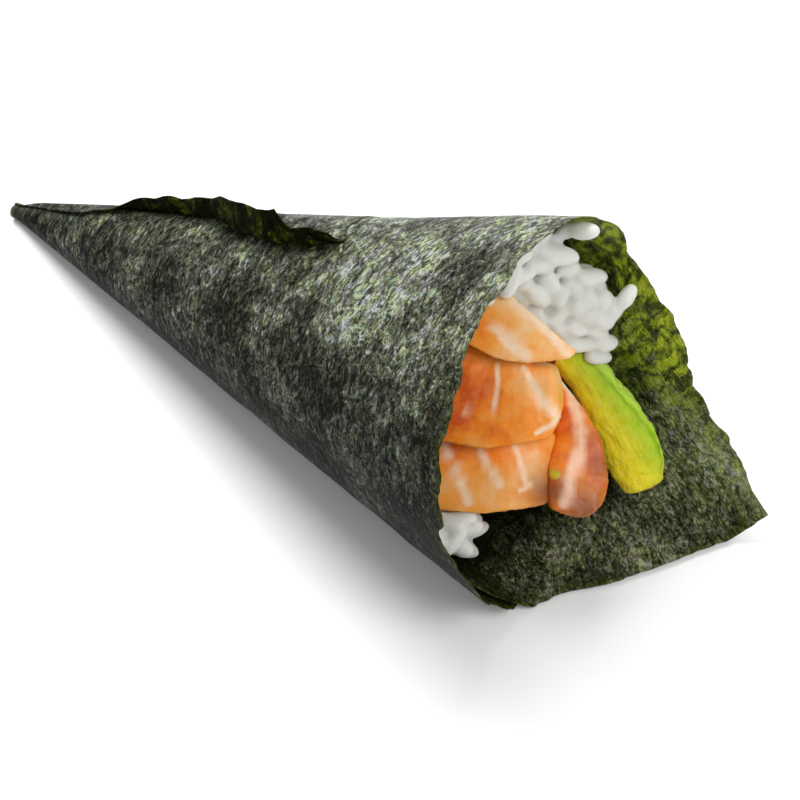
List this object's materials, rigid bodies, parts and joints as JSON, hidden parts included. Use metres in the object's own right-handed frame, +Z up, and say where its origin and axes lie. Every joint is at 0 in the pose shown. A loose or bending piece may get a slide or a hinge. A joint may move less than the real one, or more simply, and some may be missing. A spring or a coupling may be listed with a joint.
{
  "type": "temaki hand roll",
  "caption": "Hand roll lying on its side: a cone of rolled nori sheet open at the wide end, filled with rice, salmon slices and an avocado slice.",
  "frame": {"origin": "middle of the footprint, on the surface that the roll lies on", "axes": "+X from the closed tip to the open mouth, +Z up"},
  "size_m": [0.1364, 0.0538, 0.0528],
  "materials": {
    "nori": "dry crinkled sheet with a slight sheen",
    "rice": "moist, slightly translucent grains",
    "salmon": "moist raw flesh with pale fat lines",
    "avocado": "soft, slightly oily flesh"
  },
  "bodies": {
    "root": {"nori": "nori", "rice": "rice", "salmon_top": "salmon", "salmon_middle": "salmon", "salmon_lower": "salmon", "salmon_right": "salmon", "avocado": "avocado"}
  },
  "joints": []
}
